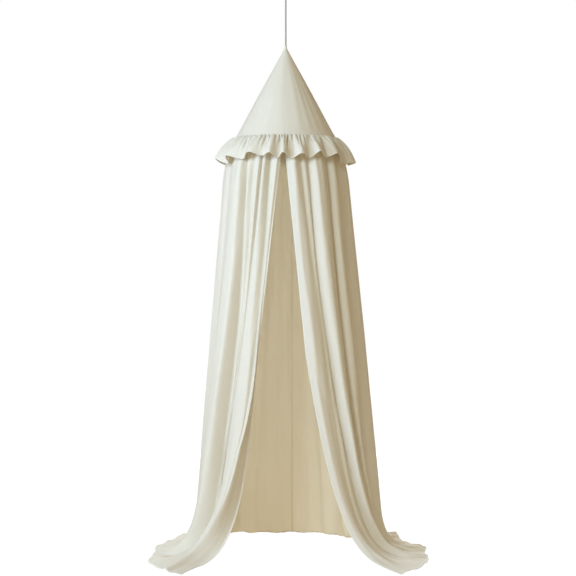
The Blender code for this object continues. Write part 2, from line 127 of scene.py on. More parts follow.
# Walls and ruffle: the radius of the walls' top seam, just outside the cone's edge, the
# ruffle's outward bow as a share of its length, and the gap from the cone to its seam
WALL_GAP = 0.0012
WALL_RADIUS = CONE_SLOPE * (APEX - HOOP_LINE) + WALL_GAP
RUFFLE_BOW = 0.095
SEAM_GAP = 0.0011

# Where a wall leaves its straight hang and sweeps out over the floor
SWEEP_DROP = 0.72
# Where the folds reach their full height below the top seam, and their height at it
GATHER_DROP = 0.090
GATHER_START = 0.03

# A wall's lines of hang: the turn round the hoop from the centre back in degrees,
# the point below which the cloth would stand if it hung straight, the point where
# it lands, its hem, the height at which it starts to sweep out, and how far its
# straight stretch hangs back inside that line.
#    share  turn  foot_x  foot_y  land_x  land_y  hem_x  hem_y  sweep  back
LEFT_RAILS = (
    (0.00, -6.2, 0.0287, 0.440, 0.0287, 0.443, 0.0287, 0.446, 0.05, 0.00),
    (0.10, 12.0, -0.125, 0.440, -0.130, 0.444, -0.132, 0.447, 0.05, 0.00),
    (0.20, 31.0, -0.262, 0.415, -0.280, 0.436, -0.292, 0.448, 0.07, 0.00),
    (0.31, 51.0, -0.350, 0.330, -0.410, 0.385, -0.498, 0.449, 0.16, 0.00),
    (0.43, 73.0, -0.400, 0.200, -0.475, 0.230, -0.572, 0.225, 0.22, 0.00),
    (0.54, 93.0, -0.420, 0.050, -0.500, 0.045, -0.637, 0.025, 0.25, 0.00),
    (0.64, 111.0, -0.415, -0.060, -0.500, -0.080, -0.628, -0.090, 0.26, 0.00),
    (0.71, 124.0, -0.400, -0.120, -0.490, -0.155, -0.636, -0.206, 0.27, 0.00),
    (0.79, 139.0, -0.370, -0.180, -0.475, -0.225, -0.640, -0.340, 0.32, 0.00),
    (0.87, 153.0, -0.320, -0.225, -0.440, -0.270, -0.601, -0.459, 0.40, 0.00),
    (0.93, 164.5, -0.280, -0.252, -0.410, -0.285, -0.545, -0.555, 0.48, 0.00),
    (1.00, 177.3, -0.229, -0.270, -0.368, -0.280, -0.462, -0.640, 0.56, 0.00),
)
RIGHT_RAILS = (
    (0.00, 6.5, 0.0301, 0.440, 0.0301, 0.443, 0.0301, 0.446, 0.05, 0.00),
    (0.10, 22.0, 0.170, 0.425, 0.172, 0.430, 0.176, 0.436, 0.05, 0.00),
    (0.20, 40.0, 0.292, 0.288, 0.300, 0.297, 0.308, 0.308, 0.08, 0.00),
    (0.32, 61.0, 0.392, 0.255, 0.450, 0.320, 0.545, 0.415, 0.16, 0.00),
    (0.44, 83.0, 0.437, 0.100, 0.502, 0.150, 0.588, 0.180, 0.20, 0.00),
    (0.56, 105.0, 0.445, -0.030, 0.530, 0.000, 0.680, 0.035, 0.22, 0.00),
    (0.70, 126.0, 0.428, -0.125, 0.520, -0.140, 0.664, -0.140, 0.26, 0.00),
    (0.80, 144.0, 0.388, -0.190, 0.490, -0.215, 0.668, -0.290, 0.34, 0.02),
    (0.88, 158.0, 0.338, -0.225, 0.445, -0.245, 0.625, -0.455, 0.52, 0.08),
    (0.94, 169.0, 0.297, -0.245, 0.408, -0.245, 0.572, -0.545, 0.74, 0.15),
    (1.00, 181.9, 0.250, -0.262, 0.352, -0.245, 0.512, -0.635, 0.95, 0.23),
)

# A wall's fold lines, crests and dips in turn from the centre back to the front edge:
# each line's share of the wall at the drops in FOLD_DROPS, then its height there.
FOLD_DROPS = (0.0, 0.40, 0.68, 0.82, 1.0)
DIP_CREASE = 0.75
#    share, share, share, share, share, height, height, height, height, height
LEFT_FOLDS = (
    (0.000, 0.000, 0.000, 0.000, 0.000, 0.012, 0.012, 0.012, 0.011, 0.008),
    (0.050, 0.052, 0.050, 0.050, 0.052, 0.001, 0.001, 0.001, 0.001, 0.001),
    (0.082, 0.086, 0.088, 0.090, 0.092, 0.018, 0.014, 0.012, 0.010, 0.006),
    (0.122, 0.120, 0.126, 0.128, 0.130, 0.003, 0.002, 0.001, 0.001, 0.001),
    (0.160, 0.165, 0.160, 0.163, 0.165, 0.024, 0.018, 0.016, 0.012, 0.006),
    (0.206, 0.204, 0.208, 0.206, 0.208, 0.002, 0.001, 0.001, 0.001, 0.001),
    (0.252, 0.250, 0.258, 0.256, 0.255, 0.026, 0.028, 0.026, 0.020, 0.005),
    (0.295, 0.298, 0.302, 0.306, 0.308, 0.003, 0.002, 0.002, 0.001, 0.001),
    (0.338, 0.345, 0.350, 0.362, 0.370, 0.028, 0.030, 0.028, 0.020, 0.005),
    (0.388, 0.392, 0.392, 0.404, 0.410, 0.002, 0.001, 0.002, 0.002, 0.001),
    (0.438, 0.440, 0.434, 0.446, 0.446, 0.029, 0.034, 0.034, 0.024, 0.006),
    (0.488, 0.494, 0.488, 0.494, 0.496, 0.006, 0.006, 0.008, 0.008, 0.002),
    (0.540, 0.545, 0.540, 0.538, 0.535, 0.030, 0.033, 0.031, 0.028, 0.006),
    (0.650, 0.655, 0.650, 0.600, 0.600, 0.012, 0.012, 0.014, 0.022, 0.003),
    (0.768, 0.806, 0.770, 0.740, 0.664, 0.032, 0.052, 0.058, 0.054, 0.006),
    (0.784, 0.844, 0.820, 0.784, 0.690, 0.002, -0.006, -0.010, -0.012, 0.001),
    (0.806, 0.858, 0.823, 0.787, 0.693, 0.016, 0.002, -0.012, -0.013, 0.001),
    (0.836, 0.867, 0.826, 0.790, 0.696, 0.002, -0.002, -0.014, -0.015, 0.001),
    (0.884, 0.874, 0.829, 0.793, 0.699, 0.028, -0.005, -0.016, -0.017, 0.001),
    (0.896, 0.882, 0.832, 0.796, 0.702, 0.002, -0.010, -0.019, -0.020, 0.000),
    (0.911, 0.934, 0.957, 0.898, 0.908, 0.028, 0.023, 0.047, 0.052, 0.006),
    (0.934, 0.972, 0.965, 0.904, 0.916, -0.003, 0.006, 0.045, 0.050, 0.005),
    (0.984, 0.986, 0.982, 0.910, 0.924, 0.028, 0.034, 0.050, 0.057, 0.008),
    (0.993, 0.993, 0.991, 0.942, 0.950, 0.024, 0.030, 0.032, 0.020, 0.001),
    (1.000, 1.000, 1.000, 1.000, 1.000, 0.020, 0.028, 0.010, -0.018, 0.000),
)
RIGHT_FOLDS = (
    (0.000, 0.000, 0.000, 0.000, 0.000, 0.012, 0.012, 0.012, 0.011, 0.008),
    (0.048, 0.050, 0.048, 0.050, 0.050, 0.001, 0.001, 0.001, 0.001, 0.001),
    (0.076, 0.080, 0.078, 0.080, 0.082, 0.017, 0.013, 0.012, 0.010, 0.006),
    (0.114, 0.116, 0.118, 0.120, 0.122, 0.002, 0.002, 0.001, 0.001, 0.001),
    (0.152, 0.155, 0.160, 0.162, 0.165, 0.024, 0.018, 0.017, 0.014, 0.008),
    (0.194, 0.198, 0.202, 0.206, 0.210, 0.002, 0.002, 0.002, 0.001, 0.001),
    (0.235, 0.240, 0.246, 0.255, 0.262, 0.026, 0.030, 0.030, 0.022, 0.010),
    (0.280, 0.286, 0.288, 0.296, 0.302, 0.003, 0.002, 0.003, 0.002, 0.006),
    (0.325, 0.330, 0.328, 0.336, 0.340, 0.028, 0.028, 0.026, 0.020, 0.014),
    (0.372, 0.376, 0.380, 0.386, 0.390, 0.003, 0.003, 0.002, 0.002, 0.002),
    (0.415, 0.420, 0.430, 0.436, 0.440, 0.027, 0.034, 0.038, 0.028, 0.006),
    (0.462, 0.468, 0.482, 0.488, 0.494, 0.006, 0.008, 0.010, 0.014, 0.002),
    (0.512, 0.520, 0.545, 0.552, 0.556, 0.031, 0.037, 0.038, 0.032, 0.006),
    (0.655, 0.700, 0.700, 0.622, 0.604, 0.004, 0.004, 0.006, 0.014, 0.002),
    (0.730, 0.762, 0.748, 0.665, 0.640, 0.026, 0.030, 0.022, 0.022, 0.005),
    (0.748, 0.787, 0.772, 0.712, 0.690, -0.002, -0.001, 0.000, 0.004, 0.001),
    (0.846, 0.860, 0.829, 0.781, 0.752, 0.038, 0.044, 0.047, 0.034, 0.007),
    (0.886, 0.896, 0.854, 0.804, 0.776, -0.003, -0.006, -0.011, -0.008, 0.000),
    (0.914, 0.914, 0.888, 0.855, 0.865, 0.017, 0.003, 0.004, 0.004, 0.006),
    (0.932, 0.927, 0.922, 0.915, 0.922, 0.004, 0.008, 0.014, 0.008, 0.000),
    (0.966, 0.970, 0.964, 0.978, 0.965, 0.027, 0.031, 0.034, 0.024, 0.006),
    (1.000, 1.000, 1.000, 1.000, 1.000, 0.000, 0.000, 0.000, 0.000, 0.000),
)

# The ruffle's fold lines, crests and dips in turn: each line's angle from the front,
# towards +X, how far it leans out from hanging straight, in degrees, and its length
# from seam to hem.
#    angle, lean, length
RUFFLE_FOLDS = (
    (-176.0, 44.0, 0.138), (-167.0, 24.0, 0.140), (-157.0, 41.0, 0.141), (-149.0, 25.0, 0.138),
    (-140.0, 46.0, 0.138), (-129.0, 23.0, 0.140), (-119.0, 43.0, 0.140), (-108.0, 25.0, 0.138),
    (-99.0, 41.0, 0.141), (-92.0, 30.0, 0.138), (-84.0, 45.0, 0.139), (-64.0, 24.0, 0.141),
    (-56.0, 45.0, 0.134), (-42.0, 25.0, 0.125), (-30.0, 48.0, 0.128), (-20.0, 34.0, 0.124),
    (-13.0, 46.0, 0.131), (-7.0, 25.0, 0.124), (-2.0, 46.0, 0.131), (5.0, 24.0, 0.125),
    (13.0, 45.0, 0.134), (22.0, 25.0, 0.123), (28.0, 49.0, 0.126), (38.0, 28.0, 0.121),
    (45.0, 47.0, 0.130), (61.0, 23.0, 0.139), (80.0, 39.0, 0.154), (94.0, 24.0, 0.142),
    (104.0, 42.0, 0.140), (114.0, 25.0, 0.138), (125.0, 45.0, 0.138), (135.0, 23.0, 0.140),
    (145.0, 42.0, 0.141), (154.0, 25.0, 0.138), (164.0, 45.0, 0.138), (174.0, 24.0, 0.140),
)

# The crown's soft folds: an angle from the front and a relative height
CROWN_FOLDS = ((-165, 0.7), (-128, 1.0), (-96, 0.6), (-62, 0.9), (-33, 0.5), (-14, 1.0),
               (9, 0.6), (26, 0.9), (58, 1.0), (90, 0.7), (121, 0.9), (152, 0.6))
CROWN_FOLD_WIDTH = 13.0

# The cloth as it was cut, in metres: width and length
RUFFLE_FLAT = (2.72, 0.141)
WALL_FLAT = (1.74, 2.34)

# Hems: their depth, how softly one layer turns into two, and the rounded edge. The
# stitches run a hem's depth from the edge, and beside the seam of crown and ruffle.
HEM = 0.013
FRONT_HEM = 0.010
RUFFLE_HEM = 0.006
HEM_BLEND = 0.001
EDGE_STEP = 0.0012
SEAM_STITCH = 0.004

# The centre-back seam: how deep and how far across the left wall is tucked under the
# right one, and how far it runs on, as a share of the room to its next fold line
SEAM_TUCK = 0.0016
SEAM_SHARE = 0.006
SEAM_OVERLAP = 0.07

# The power that rounds a gather's crest and creases the dip beside it
PLEAT_POWER = 0.8

# A wall's fine gathers under its top seam: how many, how high and how far they reach.
# They are spaced unevenly, by rows of size, pace and start.
WALL_GATHERS = 33
WALL_GATHER_HEIGHT = 0.0030
WALL_GATHER_REACH = 0.11
LEFT_WANDER = ((0.35, 9.0, 1.0), (0.22, 23.0, -1.0))
RIGHT_WANDER = ((0.35, 9.0, 1.0), (0.22, 23.0, 1.0))

# Soft ripples of a wall and of its train: size, count across the wall, drift, start
LEFT_RIPPLES = ((0.0015, 13.0, 0.9, 0.10), (0.0012, 19.0, -1.3, 0.55), (0.0008, 31.0, 1.7, 0.30))
RIGHT_RIPPLES = ((0.0015, 12.0, -0.8, 0.35), (0.0012, 21.0, 1.2, 0.80), (0.0008, 29.0, -1.9, 0.15))
TRAIN_RIPPLES = ((0.0016, 17.0, 4.0, 0.20), (0.0012, 27.0, -6.0, 0.70), (0.0009, 9.0, 13.0, 0.45))
# Where the train starts, how softly, how much it calms the wall's own ripples, and where
# the ripples die away: below the top seam, and beside the side edges
TRAIN_DROP = 0.80
TRAIN_BLEND = 0.12
TRAIN_CALM = 0.5
RIPPLE_FADE = 0.05
EDGE_FADE = 0.02

# The ruffle's fine gathers under its seam and broad pleats across its middle: how many,
# how high, how much of them stands inside the smooth surface, and where they fade in
# and out. The pleats wander with the gathers.
RUFFLE_GATHERS = 84
RUFFLE_GATHER_HEIGHT = 0.0120
RUFFLE_GATHER_LEVEL = 0.40
RUFFLE_GATHER_REACH = 0.48
RUFFLE_PLEATS = 31
RUFFLE_PLEAT_HEIGHT = 0.0105
RUFFLE_PLEAT_LEVEL = 0.95
RUFFLE_PLEAT_IN = 0.30
RUFFLE_PLEAT_OUT = 0.40
RUFFLE_PLEAT_END = 0.50
RUFFLE_SEAM_FADE = 0.05
RUFFLE_SEAM_LAP = 0.06
RUFFLE_WANDER = ((0.5, 14.0 * math.pi, 0.0), (0.3, 38.0 * math.pi, 1.0))
PLEAT_WANDER = 0.4
PLEAT_START = 0.65

# The crown's soft creases, and its puckers along the ruffle's seam
CREASES = 23
CREASE_HEIGHT = 0.0008
CREASE_DRIFT = 2.0
CREASE_DRIFTS = 5
CREASE_FADE = 0.9
PUCKERS = 68
PUCKER_HEIGHT = 0.0012
PUCKER_REACH = 0.028
PUCKER_WANDER = ((0.5, 14.0 * math.pi, 0.0),)

# Grids: a wall's columns from one fold line to the next, its two closer columns at each
# edge, and its rows in the straight hang and in the train
WALL_STEPS = 9
EDGE_COLUMNS = (0.12, 0.5)
HANG_ROWS = 84
TRAIN_ROWS = 106
WALL_HEM_ROW = 0.006
WALL_HEM_CLEAR = 0.002
# The ruffle's and the crown's
RUFFLE_STEPS = 30
RUFFLE_ROWS = 26
RUFFLE_HEM_ROW = 0.003
RUFFLE_HEM_CLEAR = 0.03
CROWN_STEPS = 300
CROWN_ROWS = 70
CROWN_TOP_ROW = 0.002
CROWN_ROW_GROWTH = 1.15
# Round pieces: their sides, and the spacing or number of the points along them
ROPE_SIDES = 24
ROPE_SPACING = 0.0007
LOOP_SPACING = 0.0008
LOOP_POINTS = 33
WRAP_SIDES = 20
WRAP_POINTS = 40
HOOP_SIDES = 16
HOOP_POINTS = 241
HOOK_SIDES = 20
HOOK_SPACING = 0.0006
HOOK_POINTS = 60
PLATE_SIDES = 64
# The step over which a wall's slopes are taken
SLOPE_STEP = 0.004

# Weave: the threads' spacing and height, the scales and height of the slubs that run
# along them, and the scales and strength of the mottle
THREAD = 0.0011
THREAD_HEIGHT = 0.00004
SLUBS = (700.0, 26.0)
SLUB_HEIGHT = 0.00012
MOTTLE = (9.0, 4.0)
MOTTLE_SHARE = 0.8
# Stitches: their spacing, the part of it that is thread, the line's half width and
# depth, and how dark the thread is and shows
STITCH = 0.0036
STITCH_SHARE = 0.72
STITCH_WIDTH = 0.0007
STITCH_DEPTH = 0.0002
STITCH_DARK = 0.62
STITCH_SHOWS = 0.35

# Camera: where it stands, and its lens on a 36 mm sensor
CAMERA = (0.011, -7.0, -1.5095)
LENS = 89.775
SENSOR = 36.0

# Light: the fill from all round, the lamps and the point that they face, and the floor,
# with what it throws back at the cloth and how bright the camera sees it
FILL = 0.40
FILL_COLOUR = (1.11, 0.99, 0.78)
#    name, place, size, power, colour
LAMPS = (
    ("key", (-2.9, -2.3, -0.6), 1.6, 74.0, (0.73, 1.06, 1.62)),
    ("front", (-2.4, -5.6, 1.0), 1.6, 203.0, (0.81, 1.00, 1.15)),
    ("back", (0.4, 4.5, -1.2), 1.6, 219.0, (0.87, 1.00, 1.20)),
)
LAMP_AIM = (0.0, 0.0, -1.6)
FLOOR_REACH = 30.0
FLOOR_GAP = 0.0004
FLOOR_BASE = (0.30, 0.30, 0.30, 1.0)
FLOOR_BOUNCE = 0.30
FLOOR_COLOUR = (1.29, 0.98, 0.52, 1.0)
FLOOR_SEEN = (0.12, 0.12, 0.12, 1.0)
FLOOR_GLOW = 0.98
WHITE = (1.0, 1.0, 1.0, 1.0)


def ease(value):
    """0 to 1 with a level start and end."""
    value = np.clip(value, 0.0, 1.0)
    return value * value * (3.0 - 2.0 * value)


def through(knots, rows, at):
    """A smooth curve through each column of rows, one row at each knot."""
    knots = np.asarray(knots, dtype=float)
    rows = np.asarray(rows, dtype=float)
    slopes = np.gradient(rows, knots, axis=0)
    index = np.clip(np.searchsorted(knots, at, side="right") - 1, 0, len(knots) - 2)
    width = (knots[index + 1] - knots[index])[..., None]
    part = (at - knots[index])[..., None] / width
    rest = 1.0 - part
    return ((1.0 + 2.0 * part) * rest ** 2 * rows[index]
            + part * rest ** 2 * width * slopes[index]
            + part ** 2 * (3.0 - 2.0 * part) * rows[index + 1]
            - part ** 2 * rest * width * slopes[index + 1])


def hang(rails, side, share, drop):
    """The wall without its folds: straight down from the hoop, then a Bezier curve
    that lands on the floor and runs out to the hem. Heights are above the floor."""
    table = np.asarray(rails)
    columns = through(table[:, 0], table[:, 1:], share)
    turn, foot_x, foot_y, land_x, land_y, hem_x, hem_y, sweep, back = np.moveaxis(columns, -1, 0)
    turn = np.radians(turn)
    top_x = side * WALL_RADIUS * np.sin(turn)
    top_y = WALL_RADIUS * np.cos(turn)
    reach = (1.0 - sweep / WALL_TOP) * (1.0 - back)
    knee_x = top_x + (foot_x - top_x) * reach
    knee_y = top_y + (foot_y - top_y) * reach
    fall = np.clip(drop / SWEEP_DROP, 0.0, 1.0)
    run = np.clip((drop - SWEEP_DROP) / (1.0 - SWEEP_DROP), 0.0, 1.0)
    rest = 1.0 - run
    weights = (rest ** 3, 3.0 * run * rest ** 2, 3.0 * run ** 2 * rest, run ** 3)
    swept = drop > SWEEP_DROP
    x_swept = sum(w * v for w, v in zip(weights, (knee_x, foot_x, land_x, hem_x)))
    y_swept = sum(w * v for w, v in zip(weights, (knee_y, foot_y, land_y, hem_y)))
    x = np.where(swept, x_swept, top_x + (knee_x - top_x) * fall)
    y = np.where(swept, y_swept, top_y + (knee_y - top_y) * fall)
    z = np.where(swept, weights[0] * sweep, WALL_TOP + (sweep - WALL_TOP) * fall)
    return np.stack([x, y, z], axis=-1)


def folds_at(folds, across, drop):
    """The share and height of the cloth. Across counts evenly from one fold line to
    the next, and the share runs straight between them. Measured from the crest, the
    height falls by a blend of half a cosine, which rounds the dip, and a quarter of
    one, which creases it. Near the top seam the folds are gathered flat."""
    table = np.asarray(folds)
    count = len(FOLD_DROPS)
    lines = through(FOLD_DROPS, np.concatenate([table[:, :count], table[:, count:]]).T, drop)
    step = across * (len(table) - 1)
    line = np.clip(np.floor(step).astype(int), 0, len(table) - 2)
    part = step - line
    share, share_next, height, height_next = (
        np.take_along_axis(lines, line[..., None] + shift, axis=-1)[..., 0]
        for shift in (0, 1, len(table), len(table) + 1))
    leaves_crest = line % 2 == 0
    crest = np.where(leaves_crest, height, height_next)
    dip = np.where(leaves_crest, height_next, height)
    away = np.where(leaves_crest, part, 1.0 - part)
    rounded = 0.5 - 0.5 * np.cos(math.pi * away)
    creased = 1.0 - np.cos(0.5 * math.pi * away)
    lift = crest + (dip - crest) * (rounded + (creased - rounded) * DIP_CREASE)
    flat = np.clip(1.0 - drop / GATHER_DROP, 0.0, 1.0) ** 2
    return share + (share_next - share) * part, lift * (1.0 - (1.0 - GATHER_START) * flat)


def outward(rails, side, share, drop):
    """The unit normal of the wall without its folds, away from the inside: the cross
    product of its slopes across and down, each taken over a small step."""
    share = np.clip(share, SLOPE_STEP, 1.0 - SLOPE_STEP)
    drop = np.clip(drop, SLOPE_STEP, 1.0 - SLOPE_STEP)
    across = (hang(rails, side, share + SLOPE_STEP, drop)
              - hang(rails, side, share - SLOPE_STEP, drop))
    down = (hang(rails, side, share, drop + SLOPE_STEP)
            - hang(rails, side, share, drop - SLOPE_STEP))
    normal = np.cross(across, down) * side
    return normal / np.maximum(np.linalg.norm(normal, axis=-1, keepdims=True), 1e-9)


def wall_face(rails, side, share, height, normal, drop):
    """A wall's inner face: the hang, moved along its normal by the folds. At the top
    seam they move it level, and it stays above the floor."""
    level = normal.copy()
    level[..., 2] *= ease(drop / GATHER_DROP)
    point = hang(rails, side, share, drop) + height[..., None] * level
    point[..., 2] = np.maximum(point[..., 2], 0.0)
    return point


def crown_radius(angle, height):
    """The cone's outer radius at an angle from the front, in degrees. The soft
    folds stand out between the tip and the hoop and die away at both."""
    fold = np.zeros_like(angle)
    for crest, size in CROWN_FOLDS:
        away = (angle - crest + 180.0) % 360.0 - 180.0
        fold = fold + size * np.exp(-(away / CROWN_FOLD_WIDTH) ** 2)
    part = np.clip((APEX - height) / (APEX - RUFFLE_SEAM), 0.0, 1.0)
    return CONE_SLOPE * (APEX - height) + CROWN_FOLD * fold * (np.sin(math.pi * part) ** 2)


def around(angle, radius, height):
    """A point at an angle from the front, which is -Y, towards +X."""
    angle = np.radians(angle)
    return np.stack([radius * np.sin(angle), -radius * np.cos(angle), height], axis=-1)


def seam_height(angle):
    """The height of the ruffle's seam, which sags a little at the front."""
    return RUFFLE_SEAM - SEAM_SAG * (0.5 + 0.5 * np.cos(np.radians(angle))) ** 2


def ruffle_point(turn, drop):
    """The ruffle: turn counts evenly from one fold line to the next. Each line runs
    from the seam down to the hem and leans out, most at a crest and least in a dip,
    with a slight bow outwards."""
    table = np.asarray(RUFFLE_FOLDS)
    steps = turn * len(table)
    index = np.floor(steps).astype(int) % len(table)
    after = (index + 1) % len(table)
    part = steps - np.floor(steps)
    wave = 0.5 - 0.5 * np.cos(math.pi * part)
    angle = table[index, 0] + (table[after, 0] - table[index, 0]) % 360.0 * part
    lean = np.radians(table[index, 1] + (table[after, 1] - table[index, 1]) * wave)
    length = table[index, 2] + (table[after, 2] - table[index, 2]) * wave
    bow = RUFFLE_BOW * np.sin(math.pi * drop)
    out = length * (drop * np.sin(lean) + bow * np.cos(lean))
    down = length * (drop * np.cos(lean) - bow * np.sin(lean))
    seam = seam_height(angle)
    return around(angle, crown_radius(angle, seam) + SEAM_GAP + out, seam - down)


def normals(grid, closed=False):
    """Unit normals of a grid of points: the cross product of its two slopes. A closed
    grid repeats its first column as its last."""
    if closed:
        wrapped = np.concatenate([grid[:, -2:-1], grid, grid[:, 1:2]], axis=1)
        across = np.gradient(wrapped, axis=1)[:, 1:-1]
    else:
        across = np.gradient(grid, axis=1)
    down = np.gradient(grid, axis=0)
    normal = np.cross(across, down)
    return normal / np.maximum(np.linalg.norm(normal, axis=-1, keepdims=True), 1e-12)


def corners(grid):
    """The four corners of every square of a grid, in turn round the square."""
    squares = np.stack([grid[:-1, :-1], grid[:-1, 1:], grid[1:, 1:], grid[1:, :-1]], axis=2)
    return squares.reshape(-1, 4, *grid.shape[2:])


def piece(name, points, faces, finish, nodes=(), maps=()):
    """A mesh object with its finish, riding on the part. Maps are pairs of a name and
    the coordinates at every corner of every face."""
    mesh = bpy.data.meshes.new(name)
    mesh.from_pydata(points.reshape(-1, 3).tolist(), [], faces)
    for title, values in maps:
        layer = mesh.uv_layers.new(name=title)
        layer.data.foreach_set("uv", values.reshape(-1))
    mesh.shade_smooth()
    mesh.materials.append(finish)
    made = bpy.data.objects.new(name, mesh)
    bpy.context.scene.collection.objects.link(made)
    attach(made, "root")
    if nodes:
        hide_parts(*nodes)
    return made


def cloth(name, middle, thickness, flat, sewn, finish, node, closed=False):
    """Cloth of two faces, each half the thickness from the middle surface along its
    normal, joined round the open edges. Flat is each point's place on the flat cloth,
    and sewn its place along a sewn edge and its distance from it."""
    shift = normals(middle, closed) * thickness[..., None] * 0.5
    layers = np.stack([middle + shift, middle - shift])
    layers[..., 2] = np.maximum(layers[..., 2], 0.0) - CEILING
    if closed:
        layers = layers[:, :, :-1]
    index = np.arange(layers[..., 0].size).reshape(layers.shape[:3])
    if closed:
        index = np.concatenate([index, index[:, :, :1]], axis=2)

    def sides(front, back):
        """Both faces and the rims between them, all facing out."""
        rims = [np.stack([back[0], front[0]]), np.stack([front[-1], back[-1]])]
        if not closed:
            rims += [np.stack([back[:, 0], front[:, 0]], axis=1),
                     np.stack([front[:, -1], back[:, -1]], axis=1)]
        return np.concatenate([corners(grid) for grid in [front, back[:, ::-1]] + rims])

    maps = [("cloth", sides(flat, flat)), ("sewn", sides(sewn, sewn))]
    return piece(name, layers, sides(index[0], index[1]).tolist(), finish,
                 (node,), maps)


def waves(at, down, table):
    """A sum of rows of size, count, drift and start: size times the cosine of a turn
    that counts across and drifts as it runs down."""
    return sum(size * np.cos(2.0 * math.pi * (count * at + drift * down + start))
               for size, count, drift, start in table)


def wandering(at, table):
    """A sum of rows of size, pace and start: size times the sine of the pace times
    the place, plus the start."""
    return sum(size * np.sin(pace * at + start) for size, pace, start in table)


def pleats(at, count, wander):
    """Gathers from 0 to 1, with round crests and creased dips: the size of a sine that
    turns over count times, shifted by the wander, to a power just under 1."""
    return np.abs(np.sin(math.pi * (count * at + wander))) ** PLEAT_POWER


def wall_middle(rails, folds, side, ripples, wander, across, drop):
    """The middle surface of a wall: the folds, with fine gathers that die away below
    the top seam, soft ripples all the way down and small crinkles in the train. At the
    side edges it lies flat, and the left wall's back edge is tucked in."""
    share, height = folds_at(folds, across, drop)
    normal = outward(rails, side, share, drop)
    gathers = WALL_GATHER_HEIGHT * pleats(share, WALL_GATHERS, wandering(share, wander))
    gathers = gathers * np.exp(-(drop / WALL_GATHER_REACH) ** 2)
    train = ease((drop - TRAIN_DROP) / TRAIN_BLEND)
    soft = waves(share, drop, ripples) * (1.0 - TRAIN_CALM * train) * ease(drop / RIPPLE_FADE)
    crinkle = waves(share, drop, TRAIN_RIPPLES) * train
    edge = ease(np.minimum(share, 1.0 - share) / EDGE_FADE)
    tuck = SEAM_TUCK * (1.0 - ease(share / SEAM_SHARE)) if side < 0 else 0.0
    lift = CLOTH * 0.5 - tuck + (gathers + soft + crinkle) * edge
    point = wall_face(rails, side, share, height, normal, drop) + normal * lift[..., None]
    point[..., 2] = np.maximum(point[..., 2], CLOTH * 0.5)
    return point, share


def stepped(distance, hem):
    """The cloth's thickness: two layers in a hem, one beyond it."""
    return LAYER * (2.0 - ease((distance - hem + HEM_BLEND) / (2.0 * HEM_BLEND)))


def hem_drops(hem, inside, length):
    """The drops of a hem's rows: three across the step from one layer to two, one
    inside the hem, and two that round its edge."""
    from_edge = [hem + HEM_BLEND, hem, hem - HEM_BLEND, inside, EDGE_STEP, 0.0]
    return 1.0 - np.array(from_edge) / length


def wall(name, rails, folds, side, ripples, wander, finish):
    """One of the two gathered walls, with a turned hem and a turned front edge. Its
    columns follow the fold lines, and its rows run from the top seam to the hem."""
    width, length = WALL_FLAT
    spans = len(folds) - 1
    across = np.arange(spans * WALL_STEPS + 1) / (spans * WALL_STEPS)
    ends = np.array(EDGE_COLUMNS) / (spans * WALL_STEPS)
    overlap = [-SEAM_OVERLAP / spans] if side < 0 else []
    across = np.concatenate([overlap, [0.0], ends, across[1:-1], 1.0 - ends[::-1], [1.0]])
    hem_rows = hem_drops(HEM, WALL_HEM_ROW, length)
    drop = np.concatenate([[0.0, EDGE_STEP / length],
                           np.linspace(0.0, SWEEP_DROP, HANG_ROWS, endpoint=False)[1:],
                           np.linspace(SWEEP_DROP, hem_rows[0] - WALL_HEM_CLEAR, TRAIN_ROWS),
                           hem_rows])
    if side < 0:
        across = across[::-1]
    drop, across = np.meshgrid(drop, across, indexing="ij")
    middle, share = wall_middle(rails, folds, side, ripples, wander, across, drop)
    from_front = (1.0 - share) * width
    from_hem = (1.0 - drop) * length
    distance = np.minimum(from_hem, from_front + HEM - FRONT_HEM)
    along = np.where(from_hem < from_front, from_front, from_hem)
    flat = np.stack([from_front, from_hem], axis=-1)
    sewn = np.stack([along, distance], axis=-1)
    made = cloth(name + "_cloth", middle, stepped(distance, HEM), flat, sewn, finish, name)
    return made


def ruffle(finish):
    """The gathered ruffle: its folds, with fine gathers that start at the seam and fade
    below it, broad pleats across its middle, and a narrow hem. The seam lies on the
    crown."""
    width, length = RUFFLE_FLAT
    turn = np.linspace(0.0, 1.0, len(RUFFLE_FOLDS) * RUFFLE_STEPS + 1)[::-1]
    hem_rows = hem_drops(RUFFLE_HEM, RUFFLE_HEM_ROW, length)
    drop = np.concatenate([[0.0, EDGE_STEP / length],
                           np.linspace(0.0, hem_rows[0] - RUFFLE_HEM_CLEAR, RUFFLE_ROWS)[1:],
                           hem_rows])
    drop, turn = np.meshgrid(drop, turn, indexing="ij")
    middle = ruffle_point(turn % 1.0, drop)
    angle = np.arctan2(middle[..., 0], -middle[..., 1]) / (2.0 * math.pi)
    wander = wandering(angle, RUFFLE_WANDER)
    fine = np.exp(-(drop / RUFFLE_GATHER_REACH) ** 2) * ease(drop / RUFFLE_SEAM_FADE)
    broad = ease(drop / RUFFLE_PLEAT_IN)
    broad = broad * (1.0 - ease((drop - RUFFLE_PLEAT_OUT) / RUFFLE_PLEAT_END))
    gather = pleats(angle, RUFFLE_GATHERS, wander) - RUFFLE_GATHER_LEVEL
    pleat = pleats(angle, RUFFLE_PLEATS, PLEAT_WANDER * wander + PLEAT_START)
    lift = (RUFFLE_GATHER_HEIGHT * gather * fine
            + RUFFLE_PLEAT_HEIGHT * (pleat - RUFFLE_PLEAT_LEVEL) * broad
            + CLOTH * 0.5 - SEAM_GAP * (1.0 - ease(drop / RUFFLE_SEAM_LAP)))
    middle = middle + normals(middle, True) * lift[..., None]
    from_hem = (1.0 - drop) * length
    flat = np.stack([turn * width, from_hem], axis=-1)
    sewn = np.stack([turn * width, from_hem + HEM - RUFFLE_HEM], axis=-1)
    made = cloth("ruffle_cloth", middle, stepped(from_hem, RUFFLE_HEM), flat, sewn, finish,
                 "ruffle", closed=True)
    return made


